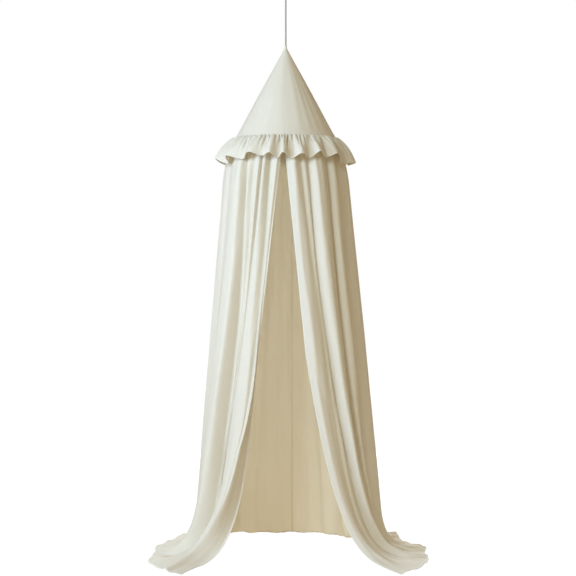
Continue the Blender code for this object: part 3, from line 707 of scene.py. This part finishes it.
def crown(finish):
    """The cone: its radius grows evenly from a collar that hugs the rope, with soft
    folds, creases that run down from the tip, and small puckers where the ruffle is
    sewn to it."""
    turn = np.linspace(0.0, 1.0, CROWN_STEPS + 1)[::-1]
    part = np.linspace(0.0, 1.0, CROWN_ROWS)[1:] ** CROWN_ROW_GROWTH
    part = np.concatenate([[0.0, CROWN_TOP_ROW], part])
    part, turn = np.meshgrid(part, turn, indexing="ij")
    angle = turn * 360.0 - 180.0
    top = APEX + COLLAR_TOP
    height = top + (HOOP_LINE - top) * part
    past_collar = crown_radius(angle, np.minimum(height, APEX)) - COLLAR_RADIUS
    radius = COLLAR_RADIUS + 0.5 * (past_collar + np.hypot(past_collar, COLLAR_BLEND))
    below = height - seam_height(angle)
    near_seam = np.exp(-(below / PUCKER_REACH) ** 2)
    drift = CREASE_DRIFT * np.sin(2.0 * math.pi * CREASE_DRIFTS * turn)
    crease = CREASE_HEIGHT * np.sin(2.0 * math.pi * CREASES * turn + drift)
    pucker = PUCKER_HEIGHT * pleats(turn, PUCKERS, wandering(turn, PUCKER_WANDER))
    radius = radius + crease * ease(part / CREASE_FADE) * (1.0 - near_seam)
    radius = radius + pucker * near_seam - LAYER * 0.5
    middle = around(angle, radius, height)
    slant = np.hypot(APEX - height, radius)
    spread = np.radians(angle) * math.sin(math.atan(CONE_SLOPE))
    flat = np.stack([slant * np.sin(spread), slant * np.cos(spread)], axis=-1)
    distance = np.abs(below) + HEM - SEAM_STITCH
    sewn = np.stack([turn * 2.0 * math.pi * WALL_RADIUS, distance], axis=-1)
    made = cloth("crown_cloth", middle, np.full_like(part, LAYER), flat, sewn, finish,
                 "crown", closed=True)
    return made


def carried(name, path, reference, radius, sides, finish, nodes=(), ring=False):
    """A profile carried along a path: each point is the path's point plus the radius,
    a function of the length along and the turn round, times a unit vector that turns
    in the plane across the path. The ends are closed with flat faces, but in a ring,
    whose path ends where it starts, they are joined to each other."""
    path = np.asarray(path, dtype=float)
    ahead = np.gradient(path, axis=0)
    if ring:
        ahead[[0, -1]] = path[1] - path[-2]
    ahead = ahead / np.linalg.norm(ahead, axis=1, keepdims=True)
    side = np.cross(ahead, reference)
    side = side / np.linalg.norm(side, axis=1, keepdims=True)
    up = np.cross(ahead, side)
    steps = np.linalg.norm(np.diff(path, axis=0), axis=1)
    length = np.concatenate([[0.0], np.cumsum(steps)])
    turn = np.linspace(0.0, 1.0, sides, endpoint=False)
    along, turn = np.meshgrid(length, turn, indexing="ij")
    size = radius(along, turn, length[-1])[..., None]
    round_it = 2.0 * math.pi * turn[..., None]
    points = (path[:, None] + size * (np.cos(round_it) * side[:, None]
                                      + np.sin(round_it) * up[:, None]))
    index = np.arange(points[..., 0].size).reshape(points.shape[:2])
    index = np.concatenate([index, index[:, :1]], axis=1)
    ends = [index[0, :0:-1].tolist(), index[-1, 1:].tolist()]
    if ring:
        points, index[-1], ends = points[:-1], index[0], []
    faces = corners(index).tolist() + ends
    spread = np.stack([np.concatenate([along, along[:, :1]], axis=1),
                       np.concatenate([turn, np.ones_like(turn[:, :1])], axis=1)], axis=-1)
    values = np.concatenate([corners(spread).reshape(-1, 2), np.zeros((len(ends) * sides, 2))])
    return piece(name, points, faces, finish, nodes, [("along", values)])


def strands(size):
    """The radius of a rope: three strands that wind round it, with rounded ends. It is
    a core plus the size of a cosine that turns over once a strand and drifts along."""
    def radius(along, turn, length):
        wind = STRANDS * (turn - along / STRAND_PITCH)
        strand = np.abs(np.cos(math.pi * wind)) ** STRAND_POWER
        tip = np.minimum(along, length - along) / (size * ROPE_TIP_LENGTH)
        rounded = np.sqrt(np.clip(ROPE_TIP + tip, 0.0, 1.0))
        return size * (STRAND_CORE + STRAND_HEIGHT * strand) * rounded
    return radius


def even(size):
    """The radius of a wire with rounded ends, which follow a quarter of a circle."""
    def radius(along, turn, length):
        tip = np.minimum(along, length - along) / (size * HOOK_TIP_LENGTH)
        bulge = 1.0 - (1.0 - np.clip(tip, 0.0, 1.0)) ** 2
        return size * np.sqrt(HOOK_TIP + (1.0 - HOOK_TIP) * bulge) + 0.0 * turn
    return radius


def endless(size):
    """The radius of a wire that has no ends."""
    def radius(along, turn, length):
        return size + 0.0 * turn
    return radius


def refine(points, step):
    """Points along a line of corners, evenly spaced and about a step apart."""
    points = np.asarray(points, dtype=float)
    spans = np.linalg.norm(np.diff(points, axis=0), axis=1)
    length = np.concatenate([[0.0], np.cumsum(spans)])
    at = np.linspace(0.0, length[-1], max(2, int(round(length[-1] / step)) + 1))
    return np.stack([np.interp(at, length, points[:, k]) for k in range(3)], axis=1)


def rope_route():
    """The taut rope, plumb from the stop knot inside the crown to the upper knot."""
    top = -(KNOT_TOP + KNOT_LENGTH + GAP)
    end = ROPE_END - CEILING
    count = round((top - end) / ROPE_STEP) + 1
    return [(0.0, 0.0, z) for z in np.linspace(end, top, count)]


def eye_route():
    """The rope's loop over the hook: two legs and an arch, in the YZ plane."""
    peak = HOOK_CENTRE + HOOK_RADIUS - HOOK_WIRE - GAP - ROPE * 0.5
    spring = peak + LOOP_LEGS
    arch = np.radians(np.linspace(0.0, 180.0, LOOP_POINTS))
    legs = [(LOOP_LEGS, -KNOT_TOP - LOOP_TUCK), (LOOP_LEGS, -spring - 0.001)]
    bow = [(LOOP_LEGS * math.cos(a), LOOP_LEGS * math.sin(a) - spring) for a in arch]
    back = [(-y, z) for y, z in reversed(legs)]
    return [(0.0, y, z) for y, z in legs + bow + back]


def wraps(top, length, radius, turns):
    """A knot's wraps: a helix down round the rope, with its ends tucked in. It lies
    within the knot's length and radius."""
    part = np.linspace(0.0, 1.0, int(turns * WRAP_POINTS))
    out = ease(np.minimum(part, 1.0 - part) * turns * WRAP_TUCKS)
    reach = (radius - WRAP_RADIUS) * (1.0 - WRAP_TUCK * (1.0 - out))
    angle = 2.0 * math.pi * turns * part
    height = top - WRAP_INSET - (length - 2.0 * WRAP_INSET) * part
    return np.stack([reach * np.cos(angle), reach * np.sin(angle), height], axis=-1)


def turned(name, profile, steps, finish, nodes=()):
    """A round piece: a profile of radius and height, from the middle of its top face
    to the middle of its bottom face, carried round the Z axis."""
    profile = np.asarray(profile)
    turn = np.linspace(0.0, 2.0 * math.pi, steps, endpoint=False)
    rings = profile[1:-1]
    points = np.stack([rings[:, :1] * np.cos(turn), rings[:, :1] * np.sin(turn),
                       rings[:, 1:] + 0.0 * turn], axis=-1)
    index = np.arange(points[..., 0].size).reshape(points.shape[:2])
    index = np.concatenate([index, index[:, :1]], axis=1)
    faces = corners(index[:, ::-1]).tolist()
    faces += [index[0, :-1].tolist(), index[-1, :-1][::-1].tolist()]
    return piece(name, points, faces, finish, nodes)


class Wire:
    """A shader socket. An expression with it adds Math nodes."""

    def __init__(self, maker, socket):
        self.maker = maker
        self.socket = socket

    def _math(self, operation, first, second=0.0):
        return self.maker.node("Math", {"operation": operation}, {0: first, 1: second})

    def __add__(self, other):
        return self._math("ADD", self, other)

    def __sub__(self, other):
        return self._math("SUBTRACT", self, other)

    def __rsub__(self, other):
        return self._math("SUBTRACT", other, self)

    def __mul__(self, other):
        return self._math("MULTIPLY", self, other)

    def __truediv__(self, other):
        return self._math("DIVIDE", self, other)

    def __lt__(self, other):
        return self._math("LESS_THAN", self, other)

    def sine(self):
        return self._math("SINE", self)

    def unsigned(self):
        return self._math("ABSOLUTE", self)

    def fraction(self):
        return self._math("FRACT", self)

    __radd__ = __add__
    __rmul__ = __mul__


class Finish:
    """A material in the making."""

    def __init__(self, name):
        self.material = bpy.data.materials.new(name)
        self.material.use_nodes = True
        self.tree = self.material.node_tree
        self.tree.nodes.clear()

    def node(self, kind, settings=None, inputs=None, output=0):
        """Adds a node with its settings and the values or links of its sockets, and
        returns one output, or a list of them where output is a list."""
        made = self.tree.nodes.new("ShaderNode" + kind)
        for key, value in (settings or {}).items():
            setattr(made, key, value)
        for key, value in (inputs or {}).items():
            if isinstance(value, Wire):
                self.tree.links.new(value.socket, made.inputs[key])
            else:
                made.inputs[key].default_value = value
        if isinstance(output, (list, tuple)):
            return [Wire(self, made.outputs[key]) for key in output]
        return Wire(self, made.outputs[output])

    def blend(self, factor, first, second):
        """One colour turning into another as the factor goes from 0 to 1."""
        return self.node("Mix", {"data_type": "RGBA"}, {0: factor, 6: first, 7: second}, 2)

    def done(self, surface):
        """Links the shader to the material's output."""
        output = self.tree.nodes.new("ShaderNodeOutputMaterial")
        self.tree.links.new(surface.socket, output.inputs["Surface"])
        return self.material


def woven(name, pale, warm, one_layer, two_layers):
    """Plain-woven cotton: threads and slubs both ways, a faint mottle, a line of
    stitches a hem's depth from each sewn edge, and a share of light that shines
    through one layer and through the two of a hem."""
    make = Finish(name)
    place = make.node("UVMap", {"uv_map": "cloth"})
    u, v = make.node("SeparateXYZ", None, {0: place}, [0, 1])
    edge = make.node("UVMap", {"uv_map": "sewn"})
    along, distance = make.node("SeparateXYZ", None, {0: edge}, [0, 1])

    def streaks(stretch_u, stretch_v, detail):
        """A noise on the flat cloth, stretched by its scales each way."""
        spot = make.node("CombineXYZ", None, {0: u * stretch_u, 1: v * stretch_v})
        return make.node("TexNoise", {"noise_dimensions": "2D"},
                         {"Vector": spot, "Scale": 1.0, "Detail": detail, "Roughness": 0.6})

    warp = streaks(*SLUBS, 2.0)
    weft = streaks(*SLUBS[::-1], 2.0)
    mottle = streaks(*MOTTLE, 3.0)
    threads = (u * (2.0 * math.pi / THREAD)).sine() * (v * (2.0 * math.pi / THREAD)).sine()
    line = (distance - HEM).unsigned() < STITCH_WIDTH
    dash = (along / STITCH).fraction() < STITCH_SHARE
    thread = tuple(STITCH_DARK * part for part in warm[:3]) + (1.0,)
    colour = make.blend((warp + weft) * 0.5 + (mottle - 0.5) * MOTTLE_SHARE, pale, warm)
    shade = make.blend(line * dash * STITCH_SHOWS, colour, thread)
    height = threads * THREAD_HEIGHT + (warp + weft) * SLUB_HEIGHT - line * STITCH_DEPTH
    normal = make.node("Bump", None, {"Strength": 0.7, "Distance": 1.0, "Height": height})
    body = make.node("BsdfPrincipled", None,
                     {"Base Color": shade, "Roughness": 0.9, "Specular IOR Level": 0.1,
                      "Normal": normal})
    glow = make.node("BsdfTranslucent", None, {"Color": shade, "Normal": normal})
    doubled = distance < HEM
    factor = one_layer - doubled * (one_layer - two_layers)
    return make.done(make.node("MixShader", None, {0: factor, 1: body, 2: glow}))


def twisted(name, pale, grey):
    """Twisted cotton: fibres along the strands, and painted shade that darkens the grooves between
    them.
    """
    make = Finish(name)
    spread = make.node("UVMap", {"uv_map": "along"})
    along, turn = make.node("SeparateXYZ", None, {0: spread}, [0, 1])
    wind = (turn - along / STRAND_PITCH) * STRANDS
    # Painted shade: the colour darkens in the grooves between the strands, where shade falls.
    groove_shade = 1.0 - (wind * math.pi + math.pi * 0.5).sine().unsigned()
    spot = make.node("CombineXYZ", None, {0: along * 300.0, 1: wind * 9.0})
    fibre = make.node("TexNoise", {"noise_dimensions": "2D"},
                      {"Vector": spot, "Scale": 1.0, "Detail": 3.0})
    # The darker colour is reached by the painted groove shade and by the fibres' random tone.
    colour = make.blend(groove_shade * 0.7 + (fibre - 0.5) * 0.6, pale, grey)
    normal = make.node("Bump", None, {"Strength": 0.8, "Distance": 1.0,
                                      "Height": fibre * 0.0004})
    return make.done(make.node("BsdfPrincipled", None,
                               {"Base Color": colour, "Roughness": 0.85,
                                "Specular IOR Level": 0.2, "Normal": normal}))


def moulded(name, colour, deep, grain, roughness, coat):
    """A hard smooth finish: a faint grain in its colour, bump and roughness."""
    make = Finish(name)
    place = make.node("TexCoord", None, None, "Object")
    speck = make.node("TexNoise", None, {"Vector": place, "Scale": grain, "Detail": 4.0})
    patch = make.node("TexNoise", None, {"Vector": place, "Scale": 18.0, "Detail": 2.0})
    shade = make.blend(speck * 0.5 + patch * 0.5, colour, deep)
    normal = make.node("Bump", None, {"Strength": 0.4, "Distance": 1.0,
                                      "Height": speck * 0.00012})
    return make.done(make.node("BsdfPrincipled", None,
                               {"Base Color": shade, "Roughness": roughness + patch * 0.1,
                                "Coat Weight": coat, "Coat Roughness": 0.3, "Normal": normal}))


def camera():
    """The photograph's camera, level, at its own height."""
    lens = bpy.data.cameras.new("camera")
    lens.lens = LENS
    lens.sensor_width = SENSOR
    stand = bpy.data.objects.new("camera", lens)
    stand.location = CAMERA
    stand.rotation_euler = (math.radians(90.0), 0.0, 0.0)
    bpy.context.scene.collection.objects.link(stand)
    bpy.context.scene.camera = stand


def soft_box(name, place, size, power, colour):
    """A square studio lamp that faces the canopy, unseen by the camera."""
    lamp = bpy.data.lights.new(name, "AREA")
    lamp.size = size
    lamp.energy = power
    lamp.color = colour
    stand = bpy.data.objects.new(name, lamp)
    stand.location = place
    turn = (Vector(LAMP_AIM) - Vector(place)).to_track_quat("-Z", "Y")
    stand.rotation_euler = turn.to_euler()
    stand.visible_camera = False
    bpy.context.scene.collection.objects.link(stand)


def surroundings():
    """White to the camera, and a dimmer fill for the object."""
    world = bpy.data.worlds.new("studio")
    bpy.context.scene.world = world
    world.use_nodes = True
    tree = world.node_tree
    tree.nodes.clear()
    fill = tree.nodes.new("ShaderNodeBackground")
    fill.inputs["Color"].default_value = (*FILL_COLOUR, 1.0)
    fill.inputs["Strength"].default_value = FILL
    white = tree.nodes.new("ShaderNodeBackground")
    white.inputs["Color"].default_value = WHITE
    kind = tree.nodes.new("ShaderNodeLightPath")
    either = tree.nodes.new("ShaderNodeMixShader")
    out = tree.nodes.new("ShaderNodeOutputWorld")
    tree.links.new(kind.outputs["Is Camera Ray"], either.inputs[0])
    tree.links.new(fill.outputs[0], either.inputs[1])
    tree.links.new(white.outputs[0], either.inputs[2])
    tree.links.new(either.outputs[0], out.inputs["Surface"])
    bpy.context.scene.view_settings.view_transform = "Standard"


def floor():
    """A plain pale floor. The camera sees it near white, and it lights the cloth less."""
    make = Finish("pale_floor")
    seen = make.node("BsdfPrincipled", None,
                     {"Base Color": FLOOR_SEEN, "Roughness": 0.9, "Specular IOR Level": 0.0,
                      "Emission Color": WHITE, "Emission Strength": FLOOR_GLOW})
    bounce = make.node("BsdfPrincipled", None,
                       {"Base Color": FLOOR_BASE, "Roughness": 0.9, "Specular IOR Level": 0.0,
                        "Emission Color": FLOOR_COLOUR, "Emission Strength": FLOOR_BOUNCE})
    kind = make.node("LightPath")
    finish = make.done(make.node("MixShader", None, {0: kind, 1: bounce, 2: seen}))
    mesh = bpy.data.meshes.new("floor")
    level = -CEILING - FLOOR_GAP
    mesh.from_pydata([(x * FLOOR_REACH, y * FLOOR_REACH, level)
                      for x, y in ((-1, -1), (1, -1), (1, 1), (-1, 1))], [], [(0, 1, 2, 3)])
    mesh.materials.append(finish)
    made = bpy.data.objects.new("floor", mesh)
    bpy.context.scene.collection.objects.link(made)


def rope(cotton):
    """The rope with its loop and both its knots, as one cord."""
    route = rope_route()
    along_x = (1.0, 0.0, 0.0)
    upward = (0.0, 0.0, 1.0)
    full, squeezed = strands(ROPE * 0.5), strands(WRAP_RADIUS)
    eye = carried("rope_eye", refine(eye_route(), LOOP_SPACING), along_x, full, ROPE_SIDES,
                  cotton, ("rope_loop",))
    coil = wraps(-KNOT_TOP, KNOT_LENGTH, KNOT_RADIUS, KNOT_TURNS)
    upper = carried("upper_wraps", coil, upward, squeezed, WRAP_SIDES, cotton,
                    ("upper_knot",))
    coil = wraps(ROPE_END - GAP - CEILING, STOP_KNOT_LENGTH, STOP_KNOT_RADIUS, STOP_KNOT_TURNS)
    stop = carried("stop_wraps", coil, upward, squeezed, WRAP_SIDES, cotton,
                   ("stop_knot",))
    line = carried("rope_line", refine(route, ROPE_SPACING), along_x, full, ROPE_SIDES,
                   cotton, ("rope",))


def hoop(plastic):
    """The ring inside the crown's lower edge: a round wire carried round a circle."""
    turn = np.linspace(0.0, 2.0 * math.pi, HOOP_POINTS)
    circle = np.stack([HOOP_RADIUS * np.cos(turn), HOOP_RADIUS * np.sin(turn),
                       0.0 * turn + HOOP_HEIGHT - CEILING], axis=-1)
    carried("hoop_ring", circle, (0.0, 0.0, 1.0), endless(HOOP_WIRE), HOOP_SIDES, plastic,
            ("hoop",), ring=True)


def hook(enamel):
    """The open hook, a wire that drops from the plate and curls round, and its plate."""
    curl = np.radians(np.linspace(*HOOK_CURL, HOOK_POINTS))
    route = [(0.0, 0.0, -PLATE_THICKNESS * 0.5), (0.0, 0.0, -HOOK_SHANK)]
    route += [(HOOK_RADIUS * math.cos(a), 0.0, HOOK_RADIUS * math.sin(a) - HOOK_CENTRE)
              for a in curl]
    carried("hook_wire", refine(route, HOOK_SPACING), (0.0, 1.0, 0.0), even(HOOK_WIRE),
            HOOK_SIDES, enamel)
    profile = ((0.0, 0.0),
               (PLATE_RADIUS - PLATE_BACK_EDGE, 0.0),
               (PLATE_RADIUS, -PLATE_BACK_EDGE),
               (PLATE_RADIUS, PLATE_EDGE - PLATE_THICKNESS),
               (PLATE_RADIUS - PLATE_EDGE * 0.3, PLATE_EDGE * 0.3 - PLATE_THICKNESS),
               (PLATE_RADIUS - PLATE_EDGE, -PLATE_THICKNESS),
               (HOOK_WIRE * 2.0, -PLATE_THICKNESS),
               (0.0, -PLATE_THICKNESS))
    turned("hook_plate", profile, PLATE_SIDES, enamel, ("ceiling_hook",))


camera()

# The rope's second, darker colour carries the painted shade in its grooves and the fibres' random
# tone.
rope(twisted("cotton_rope", (0.38, 0.36, 0.32, 1.0), (0.22, 0.20, 0.17, 1.0)))

muslin = woven("cream_muslin", (0.88, 0.83, 0.71, 1.0), (0.86, 0.80, 0.67, 1.0), 0.42, 0.30)
crown(muslin)
ruffle(muslin)
wall("wall_left", LEFT_RAILS, LEFT_FOLDS, -1, LEFT_RIPPLES, LEFT_WANDER, muslin)
wall("wall_right", RIGHT_RAILS, RIGHT_FOLDS, 1, RIGHT_RIPPLES, RIGHT_WANDER, muslin)

plastic = moulded("hoop_plastic", (0.80, 0.78, 0.73, 1.0), (0.74, 0.72, 0.67, 1.0), 900.0,
                  0.45, 0.05)
enamel = moulded("hook_enamel", (0.78, 0.78, 0.76, 1.0), (0.72, 0.72, 0.70, 1.0), 400.0,
                 0.28, 0.4)
hoop(plastic)
hook(enamel)

floor()
surroundings()
for lamp in LAMPS:
    soft_box(*lamp)
